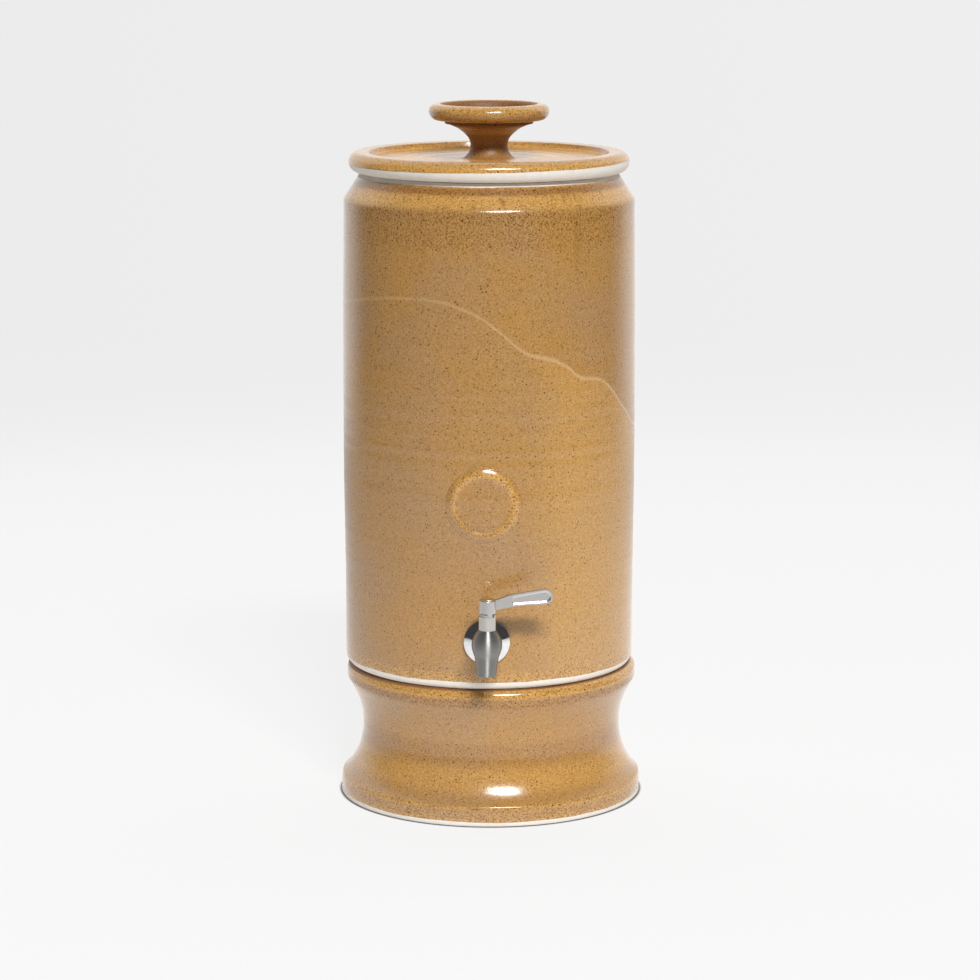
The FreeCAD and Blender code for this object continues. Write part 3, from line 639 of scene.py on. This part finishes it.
def steel(name, rough, grain, relief, shade, polish=0.0):
    """Stainless steel with a fine even grain, or turned on a lathe where polish draws its gloss out."""
    made, tree, shader = material(name)
    if polish:
        chart = add(tree, "ShaderNodeUVMap", uv_map="turned").outputs[0]
        place = add(tree, "ShaderNodeMapping", {"Vector": chart, "Scale": (60.0, 0.6, 1.0)}).outputs[0]
        tangent = add(tree, "ShaderNodeTangent", direction_type="UV_MAP", uv_map="turned").outputs[0]
        tree.links.new(tangent, shader.inputs["Tangent"])
        shader.inputs["Anisotropic"].default_value = polish
    else:
        place = add(tree, "ShaderNodeTexCoord").outputs["Object"]
        place = add(tree, "ShaderNodeMapping", {"Vector": place, "Scale": grain}).outputs[0]
    scratch = add(tree, "ShaderNodeTexNoise", {"Vector": place, "Scale": 1.0, "Detail": 3.0,
                                               "Roughness": 0.7}).outputs[0]
    share = remap(tree, scratch, 0.3, 0.7)
    tree.links.new(remap(tree, scratch, 0.3, 0.7, rough - 0.04, rough + 0.04), shader.inputs["Roughness"])
    dull = tuple(part * 0.88 for part in colour(*shade)[:3]) + (1.0,)
    tree.links.new(mixed(tree, share, dull, colour(*shade)), shader.inputs["Base Color"])
    if relief:
        tree.links.new(bump(tree, scratch, relief * MM), shader.inputs["Normal"])
    shader.inputs["Metallic"].default_value = 1.0
    return made


def stand_profile():
    """Flared ring with a rolled rim and a nearly upright band at its foot."""
    band = (stand_band_radius - 0.7, stand_band_height)
    head = (stand_rim_radius - 1.6, stand_height - stand_rim_height - 3.0)
    lower = stand_waist_height - stand_band_height
    upper = head[1] - stand_waist_height
    flare = stand_band_radius - stand_waist_radius
    spread = head[0] - stand_waist_radius
    foot = stand_foot_radius - stand_foot_width
    seat = stand_rim_radius - stand_rim_round - stand_seat_width
    waist = stand_waist_radius - stand_wall
    return profile(
        (stand_foot_radius - 0.6, 0),
        (stand_foot_radius, 0.8),
        [(stand_band_radius - 0.3, stand_bevel_height),
         (stand_band_radius + 0.3, stand_band_height * 0.5),
         (stand_band_radius + 0.1, stand_band_height * 0.8), band],
        [band, (band[0] - flare * 0.6, stand_band_height + lower * 0.2),
         (stand_waist_radius, stand_waist_height - lower * 0.37), (stand_waist_radius, stand_waist_height)],
        [(stand_waist_radius, stand_waist_height), (stand_waist_radius, stand_waist_height + upper * 0.42),
         (stand_waist_radius + spread * 0.42, stand_waist_height + upper * 0.7), head],
        (stand_rim_radius, stand_height - stand_rim_height, 3),
        (stand_rim_radius, stand_height, stand_rim_round),
        (seat, stand_height, 3),
        (seat, stand_height - stand_rim_height, 3),
        [(waist, stand_waist_height), (waist, stand_waist_height - lower * 0.37),
         (foot - flare * 0.43, stand_band_height + lower * 0.26), (foot, stand_bevel_height)],
        (foot + 0.8, 0),
    )


def crock_profile():
    """Foot recess, bellied wall, shoulder, rim, and the ledge and pocket in the mouth."""
    inner = crock_radius - crock_wall
    shoulder = crock_top - crock_shoulder_drop
    pocket = crock_mouth_radius + gallery_pocket
    ledge = gallery_height - gallery_thickness
    foot = crock_radius - crock_foot_inset
    return profile(
        (0, crock_foot + crock_recess),
        (foot, crock_foot + crock_recess, 2),
        (foot, crock_foot, 1.2),
        (crock_radius, crock_foot, crock_foot_round),
        [(crock_radius, crock_foot + 70), (crock_radius + crock_belly, crock_foot + 150),
         (crock_radius + crock_belly * 1.7, shoulder - 130), (crock_radius - 0.3, shoulder - 14)],
        (crock_radius - 0.3, shoulder, crock_shoulder_round),
        (crock_mouth_radius + crock_rim_width, crock_top, 2),
        (crock_mouth_radius, crock_top, 2),
        (crock_mouth_radius, gallery_height + gallery_pocket_depth, 2),
        (pocket, gallery_height, 1.5),
        (gallery_radius, gallery_height, 1.5),
        (gallery_radius, ledge, 1.5),
        (inner, ledge - gallery_slope, 2),
        (inner, crock_floor, 8),
        (0, crock_floor),
    )


def lid_profile():
    """Dished plate with a round rim, a locating ring below and the hollow knob above."""
    ring = lid_ring_radius - lid_ring_wall
    under = lid_plate - lid_plate_thickness
    seat = crock_top
    stem = lid_plate + knob_stem_height
    collar = knob_top - knob_ring_thickness
    bowl = collar - 2 * knob_bead
    hole = knob_ring_radius - knob_ring_width
    rise = bowl - stem
    flare = knob_flare_radius - knob_stem_radius
    return profile(
        (0, under),
        (ring, under, 1.5),
        (ring, seat - lid_ring_depth, 1.5),
        (lid_ring_radius, seat - lid_ring_depth, 1.5),
        (lid_ring_radius, seat),
        (lid_radius, seat + lid_edge_lift, lid_edge_round),
        (lid_radius, lid_top, lid_edge_round),
        (lid_rim_inner, lid_top - lid_lip_drop, 0.9),
        (lid_rim_inner - lid_lip_drop, lid_top - lid_plate_drop, 0.9),
        [(knob_flare_radius, lid_plate), (knob_flare_radius - 0.65 * flare, lid_plate + 1),
         (knob_stem_radius, lid_plate + 0.45 * knob_stem_height), (knob_stem_radius, stem)],
        [(knob_stem_radius, stem), (knob_stem_radius, stem + 0.4 * rise),
         (knob_stem_radius + 0.34 * (knob_bowl_radius - knob_stem_radius), stem + 0.73 * rise),
         (knob_bowl_radius, bowl)],
        (knob_bowl_radius + knob_bead, bowl, 0.5),
        (knob_bowl_radius + knob_bead, collar, 0.5),
        (knob_ring_radius, collar, knob_ring_thickness * 0.49),
        (knob_ring_radius, knob_top, knob_ring_thickness * 0.49),
        (hole, knob_top, knob_ring_width * 0.46),
        (hole, knob_top - 0.75 * knob_bowl_depth, knob_bowl_round),
        (0.6 * hole, knob_top - knob_bowl_depth, knob_bowl_round),
        (0, knob_top - knob_bowl_depth),
    )


def bowl_profile():
    """Inner bowl with its hanging flange and the hole for the candle's stem."""
    inner = bowl_radius - bowl_wall
    return profile(
        (bowl_hole, bowl_foot),
        (bowl_radius, bowl_foot, bowl_round),
        (bowl_radius, gallery_height),
        (bowl_flange_radius, gallery_height, 1.2),
        (bowl_flange_radius, bowl_top, 2.4),
        (inner, bowl_top, 2.4),
        (inner, bowl_foot + bowl_floor, bowl_round),
        (bowl_hole, bowl_foot + bowl_floor),
    )


def line_inside(vessel, inside, coat):
    """Gives the faces that inside picks, by radius and height in millimetres, another finish."""
    vessel.data.materials.append(coat)
    for face in vessel.data.polygons:
        radius = math.hypot(face.center.x, face.center.y) / MM
        if inside(radius, face.center.z / MM):
            face.material_index = 1


iron_speckle = iron_speckle_group()
glaze_line = glaze_line_group()
kiln_tone = kiln_tone_group()

cream = pale_glaze()
pour_curve = [(-180, 350), (-150, 372), (-120, 394), (-72, 410), (-46, 418), (-31, 420), (-20, 419),
              (-11, 414), (-3, 406.5), (4, 396), (12, 382), (16, 377.5), (24, 373.5), (31, 367), (39, 356.5),
              (47, 354), (53, 347.5), (59, 337), (66, 325), (90, 305), (130, 315), (160, 335), (180, 350)]
crock_lines = [(116.4, 1.0, 0.9, 0.0), (507.3, -1.0, 0.6, 0.0)]
# Crock zones: the gold on the shoulder's cone (496) is partly painted light on a face that looks up
crock_zones = [(504.0, 4.5, 0.0, 0.6, 0.8), (496.0, 8.5, 0.85, 0.0, 0.2), (483.0, 9.0, 0.0, 0.2, 0.95),
               (470.0, 16.0, 0.0, 0.15, 0.5), (121.0, 4.0, 0.4, 0.0, 0.6)]
# Stand zones: the gold on the lower flare (34) is partly painted light on a face that looks up; the nook in
# the seat under the crock is painted shade
stand_glaze = ochre_glaze("stand_glaze", [(3.6, 1.0, 0.8, 0.0)], [
    (107.0, 7.5, 0.9, 0.1, 0.6), (99.0, 6.0, 0.1, 0.4, 1.0), (55.0, 12.0, 0.0, 0.3, 0.2),
    (34.0, 13.0, 0.5, 0.0, 0.1), (15.0, 2.5, 0.4, 0.0, 0.6), (8.0, 7.0, 0.1, 0.1, 0.8)],
    nooks=[(90, 116.5, 107, 130, 1.0)])
crock_glaze = ochre_glaze("crock_glaze", crock_lines, crock_zones, pour=(pour_curve, 290, 430),
                          runs=(486, 60, 0.5))
seal_glaze = ochre_glaze("seal_glaze", [], [], crest="crest")
# Lid zones: the gold on the plate (521) is partly painted light and reflection, the brown round the stem
# (534) partly painted shade; the nooks are painted shade in the knob's hollow and round its stem
lid_glaze = ochre_glaze("lid_glaze", [(519.0, 1.0, 0.5, 0.013)], [
    (526.5, 3.0, 0.5, 0.0, 0.6), (521.0, 5.5, 1.0, 0.0, 0.1), (534.0, 10.0, 0.3, 0.5, 0.7),
    (550.0, 7.0, 0.5, 0.1, 0.9), (562.0, 6.0, 0.8, 0.0, 0.5)],
    dish=(102, 4), nooks=[(-9, 39, 547, 570, 1.0), (-9, 30, 521, 541, 0.75)])

stand = throw("stand_ring", stand_profile(), stand_glaze, Seed=3.0, Ring_Depth=0.0003, Wander=0.0006,
              Foot=0.0, Shift=stand_shift, Lean=stand_lean)
crock = throw("crock_vessel", crock_profile(), crock_glaze, Segments=180, Seed=11.0, Ring_Depth=0.0003,
              Wander=0.0007)
lid = throw("lid_and_knob", lid_profile(), lid_glaze, Segments=224, Seed=5.0, Ring_Depth=0.0006,
            Ring_Pitch=0.009, Wander=0.0004)
bowl = throw("inner_bowl", bowl_profile(), cream, Seed=8.0, Ring_Depth=0.0003, Wander=0.0005)
crock_shoulder = crock_top - crock_shoulder_drop
line_inside(crock, lambda radius, height: height > 120 and radius < crock_radius - 0.7 * crock_wall
            and not height > crock_shoulder + 5, cream)

for piece, body, node, finish in ((stand, "stand", "stand", "glazed_stoneware"),
                                  (crock, "crock", "crock", "glazed_stoneware"),
                                  (lid, "lid", "lid", "glazed_stoneware"),
                                  (bowl, "reservoir", "upper_reservoir", "white_glaze")):
    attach(piece, body)
    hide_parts(node)


def seal_height(radius):
    """Height of the seal's plate and ring above the wall, and the ring's own share of it."""
    width = seal_ring_widths[0 if radius < seal_ring_radius else 1]
    ring = max(0.0, 1 - ((radius - seal_ring_radius) / width) ** 2) ** 2
    start, end = seal_plate_reach
    fall = min(1.0, max(0.0, (radius - start) / (end - start)))
    return seal_plate * (1 - fall * fall * (3 - 2 * fall)) + seal_ring * ring, ring


def press_seal():
    """Round clay seal on the crock's wall: a soft ring round a bare, sunk face."""
    wall = BVHTree.FromPolygons([vertex.co for vertex in crock.data.vertices],
                                [face.vertices for face in crock.data.polygons])
    work = bmesh.new()
    crest = work.verts.layers.float.new("crest")

    def spot(radius, angle, height, mark=0.0):
        x = (seal_centre[0] + radius * math.cos(angle)) * MM
        z = (seal_centre[1] + radius * math.sin(angle)) * MM
        hit = wall.ray_cast(Vector((x, -1, z)), Vector((0, 1, 0)))[0]
        point = work.verts.new(hit + Vector((hit.x, hit.y, 0)).normalized() * height * MM)
        point[crest] = mark
        return point

    angles = [2 * math.pi * side / seal_sides for side in range(seal_sides)]
    middle = spot(0, 0, seal_height(0)[0])
    rows = []
    for step in range(1, int(seal_radius / seal_step) + 1):
        radius = step * seal_step
        height, ring = seal_height(radius)
        edge = 0.8 * max(0.0, 1 - abs(radius - seal_face_edge) / seal_face_edge_width)
        # The ring's mark is strongest on the side towards the lamp and fades to none on the other: painted
        # light
        rows.append([spot(radius, angle, height, max(edge, ring * (1 + math.cos(angle - seal_painted_light_side)) / 2))
                     for angle in angles])
    for height in (-seal_lip, -seal_depth):
        rows.append([spot(seal_radius, angle, height) for angle in angles])
    back = spot(0, 0, -seal_depth)
    for side in range(seal_sides):
        following = (side + 1) % seal_sides
        work.faces.new((middle, rows[0][side], rows[0][following]))
        work.faces.new((back, rows[-1][following], rows[-1][side]))
        for inner, outer in zip(rows, rows[1:]):
            work.faces.new((inner[side], outer[side], outer[following], inner[following]))
    bmesh.ops.recalc_face_normals(work, faces=work.faces)
    mesh = bpy.data.meshes.new("clay_seal")
    work.to_mesh(mesh)
    work.free()
    mesh.shade_smooth()
    mesh.materials.append(seal_glaze)
    return link("clay_seal", mesh)


def slope_recess(work):
    """Turns the step round the lever's sunk face into a slope that runs in to the face."""
    sunk = [face for face in work.faces
            if all(abs(vertex.co.y - paddle_face * MM) < 1e-5 for vertex in face.verts)]
    border = bmesh.ops.inset_region(work, faces=sunk, thickness=paddle_slope * MM,
                                    use_even_offset=True)["faces"]
    kept = {vertex for face in sunk for vertex in face.verts}
    for vertex in {vertex for face in border for vertex in face.verts} - kept:
        vertex.co.y = paddle_front * MM
    bmesh.ops.remove_doubles(work, verts=work.verts, dist=2e-5)


def machined(node, body, finishes, shape=None, edge=0.0):
    """A merged, smooth copy of a steel piece of the frame, reshaped and its long edges eased."""
    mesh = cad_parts[node].data.copy()
    if "custom_normal" in mesh.attributes:
        mesh.attributes.remove(mesh.attributes["custom_normal"])
    work = bmesh.new()
    work.from_mesh(mesh)
    bmesh.ops.remove_doubles(work, verts=work.verts, dist=1e-6)
    bmesh.ops.dissolve_limit(work, angle_limit=math.radians(0.3), verts=work.verts, edges=work.edges)
    if shape:
        shape(work)
    work.to_mesh(mesh)
    work.free()
    mesh.materials.clear()
    for finish in finishes:
        mesh.materials.append(finish)
    mesh.shade_smooth()
    mesh.set_sharp_from_angle(angle=math.radians(20 if edge else 28))
    blank = link(node + "_blank", mesh)
    if edge:
        eased = blank.modifiers.new("edge", "BEVEL")
        eased.width = edge * MM
        eased.segments = 2
        eased.limit_method = "ANGLE"
        eased.angle_limit = math.radians(35)
    weighed = blank.modifiers.new("faces", "WEIGHTED_NORMAL")
    weighed.keep_sharp = True
    final = bpy.data.meshes.new_from_object(blank.evaluated_get(bpy.context.evaluated_depsgraph_get()))
    bpy.data.objects.remove(blank)
    piece = link(node + "_finished", final)
    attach(piece, body)
    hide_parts(node)
    return piece


def turned_chart(mesh):
    """A map that runs along the tap's leaning axis in U and round it in V; the turned part takes finish 1."""
    chart = mesh.uv_layers.new(name="turned")
    lean = math.radians(tap_lean)
    along = Vector((math.sin(lean), 0, math.cos(lean)))
    side = Vector((math.cos(lean), 0, -math.sin(lean)))
    origin = Vector(tap_axis) * MM

    def polar(point):
        local = point - origin
        across = Vector((local.dot(side), local.y))
        return local.dot(along), across.length, math.atan2(across.y, across.x)

    for face in mesh.polygons:
        height, radius, middle = polar(face.center)
        if height + origin.z < turned_top * MM and radius < turned_radius * MM:
            face.material_index = 1
        for corner in face.loop_indices:
            height, radius, angle = polar(mesh.vertices[mesh.loops[corner].vertex_index].co)
            turn = (angle - middle + math.pi) % (2 * math.pi) - math.pi + middle
            chart.data[corner].uv = ((height - radius) * 10, turn)


def dress(node, finish):
    """Gives a piece of the frame its finish."""
    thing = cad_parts[node]
    thing.data.materials.clear()
    thing.data.materials.append(finish)


blasted_steel = steel("blasted_steel", 0.48, (3000, 3000, 3000), 0.006, (216, 212, 205))
turned_steel = steel("turned_steel", 0.48, None, 0.0, (162, 161, 158), polish=0.95)
mirror_steel = steel("mirror_steel", 0.07, (400, 400, 400), 0.0, (222, 222, 222))
brushed_steel = steel("brushed_steel", 0.34, (300, 6000, 6000), 0.006, (204, 202, 198))
candle_ceramic = plain("candle_ceramic", colour(238, 234, 224), colour(226, 220, 206), 1.6, 0.85, 0.05)
carbon = plain("pressed_carbon", colour(38, 37, 36), colour(62, 60, 58), 1.1, 0.8, 0.2)
white_plastic = plain("white_plastic", colour(236, 236, 232), colour(230, 230, 226), 0.8, 0.38, 0.01)
silicone = plain("silicone", colour(205, 204, 200), colour(192, 191, 187), 2.5, 0.5, 0.01)
seat_plastic = plain("seat_plastic", colour(240, 240, 236), colour(233, 233, 229), 1.0, 0.3, 0.005)

seal = press_seal()
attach(seal, "crock")
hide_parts("medallion")

tap = machined("tap_body", "crock", (blasted_steel, turned_steel))
turned_chart(tap.data)
machined("tap_escutcheon", "crock", (mirror_steel,))
machined("tap_lever", "lever", (brushed_steel,), slope_recess, lever_edge)
machined("lever_cap", "lever", (mirror_steel,))

for node, finish in (("candle_dome", candle_ceramic), ("carbon_core", carbon), ("candle_base", white_plastic),
                     ("candle_washer", silicone), ("stem_washer", silicone), ("wing_nut", white_plastic),
                     ("tap_outer_washer", silicone), ("tap_inner_washer", silicone),
                     ("tap_backing_washer", blasted_steel), ("tap_clamp_nut", blasted_steel),
                     ("valve_seat", seat_plastic), ("valve_plug", blasted_steel), ("stem_o_rings", silicone),
                     ("lever_screw", blasted_steel)):
    dress(node, finish)

# Studio: camera, pale floor that fades into the white of the room, and a soft light
camera_height = 0.757
camera_distance = 2.734
camera_pitch = 10.51
camera_side = 0.0008
focal_pixels = 3400
frame_pixels = 980
floor_seen = (0.9, 2.0)
floor_reach = (1.5, 2.4)
contact_shadow = (122.9, 125.9)


def make_camera():
    """Camera at the photograph's place and angle."""
    lens = bpy.data.cameras.new("camera")
    lens.sensor_width = 36
    lens.lens = lens.sensor_width * focal_pixels / frame_pixels
    eye = link("camera", lens)
    eye.location = (camera_side, -camera_distance, camera_height)
    eye.rotation_euler = (math.radians(90 - camera_pitch), 0, 0)
    bpy.context.scene.camera = eye


def make_floor():
    """Pale floor that mostly glows with painted light instead of taking the lamps', brighter near the object
    and to its right where the room sees it, with a painted contact shadow round the stand's foot; its edge
    turns clear for the room's white.
    """
    mesh = bpy.data.meshes.new("floor")
    work = bmesh.new()
    bmesh.ops.create_circle(work, cap_ends=True, segments=64, radius=floor_reach[1])
    work.to_mesh(mesh)
    work.free()
    floor = link("floor", mesh)
    made, tree, shader = material("floor_paper")
    place = add(tree, "ShaderNodeTexCoord").outputs["Object"]
    radius = vector_maths(tree, "LENGTH", {0: place})["Value"]
    seen = add(tree, "ShaderNodeLightPath").outputs["Is Camera Ray"]
    unseen = maths(tree, "SUBTRACT", 1.0, seen)
    looked_at = maths(tree, "MULTIPLY", seen, remap(tree, radius, *floor_seen, 1.0, 0.0))
    mirrored = maths(tree, "MULTIPLY", unseen, remap(tree, radius, *floor_reach, 1.0, 0.0))
    tree.links.new(maths(tree, "ADD", looked_at, mirrored), shader.inputs["Alpha"])
    across = add(tree, "ShaderNodeSeparateXYZ", {"Vector": place}).outputs["X"]
    # Painted light: the glow that the object sees is brighter near it and to the right
    lit = maths(tree, "MULTIPLY", remap(tree, radius, 0.45, 1.5, 1.08, 0.6),
                remap(tree, across, -0.8, 0.8, 0.86, 1.14))
    glow = maths(tree, "ADD", maths(tree, "MULTIPLY", seen, 0.80), maths(tree, "MULTIPLY", unseen, lit))
    # Painted contact shadow: the glow fades out round the stand's foot
    from_foot = vector_maths(tree, "DISTANCE", {0: place, 1: stand_shift})["Value"]
    painted_contact_shadow = remap(tree, from_foot, *(reach * MM for reach in contact_shadow))
    tree.links.new(maths(tree, "MULTIPLY", glow, painted_contact_shadow), shader.inputs["Emission Strength"])
    shader.inputs["Base Color"].default_value = (0.13, 0.13, 0.13, 1)
    shader.inputs["Emission Color"].default_value = (1, 1, 1, 1)
    shader.inputs["Roughness"].default_value = 0.95
    shader.inputs["Specular IOR Level"].default_value = 0.0
    mesh.materials.append(made)


def make_room():
    """White room behind and beside the object, darker in front of it above the floor."""
    world = bpy.data.worlds.new("room")
    bpy.context.scene.world = world
    world.use_nodes = True
    tree = world.node_tree
    background = tree.nodes["Background"]
    way = add(tree, "ShaderNodeTexCoord").outputs["Generated"]
    parts = add(tree, "ShaderNodeSeparateXYZ", {"Vector": way}).outputs
    overhead = maths(tree, "MULTIPLY", maths(tree, "MAXIMUM", parts["Z"], 0.0), 0.5)
    behind = remap(tree, maths(tree, "ADD", parts["Y"], overhead), 0.3, 0.8)
    seen = add(tree, "ShaderNodeLightPath").outputs["Is Camera Ray"]
    room = mixed(tree, behind, (0.06, 0.06, 0.063, 1), (1.15, 1.15, 1.15, 1))
    sweep = mixed(tree, remap(tree, parts["Z"], -0.135, -0.215), colour(235, 235, 235), colour(247, 247, 247))
    sweep = mixed(tree, remap(tree, parts["X"], -0.14, 0.14, 0.0, 0.14, "LINEAR"), sweep, (1, 1, 1, 1))
    tree.links.new(mixed(tree, seen, room, sweep), background.inputs["Color"])


def make_light(name, azimuth, elevation, distance, width, height, power):
    """Soft box that faces the object from an azimuth, to the right of the camera, and an elevation."""
    lamp = bpy.data.lights.new(name, "AREA")
    lamp.shape = "RECTANGLE"
    lamp.size, lamp.size_y = width, height
    lamp.energy = power
    thing = link(name, lamp)
    turn, rise = math.radians(azimuth), math.radians(elevation)
    way = Vector((math.sin(turn) * math.cos(rise), -math.cos(turn) * math.cos(rise), math.sin(rise)))
    thing.location = Vector((0, 0, 0.3)) + way * distance
    thing.rotation_euler = (-way).to_track_quat("-Z", "Y").to_euler()


make_camera()
make_floor()
make_room()
make_light("key_softbox", 12, 41, 8, 2.6, 0.95, 580)
bpy.context.scene.view_settings.view_transform = "Standard"
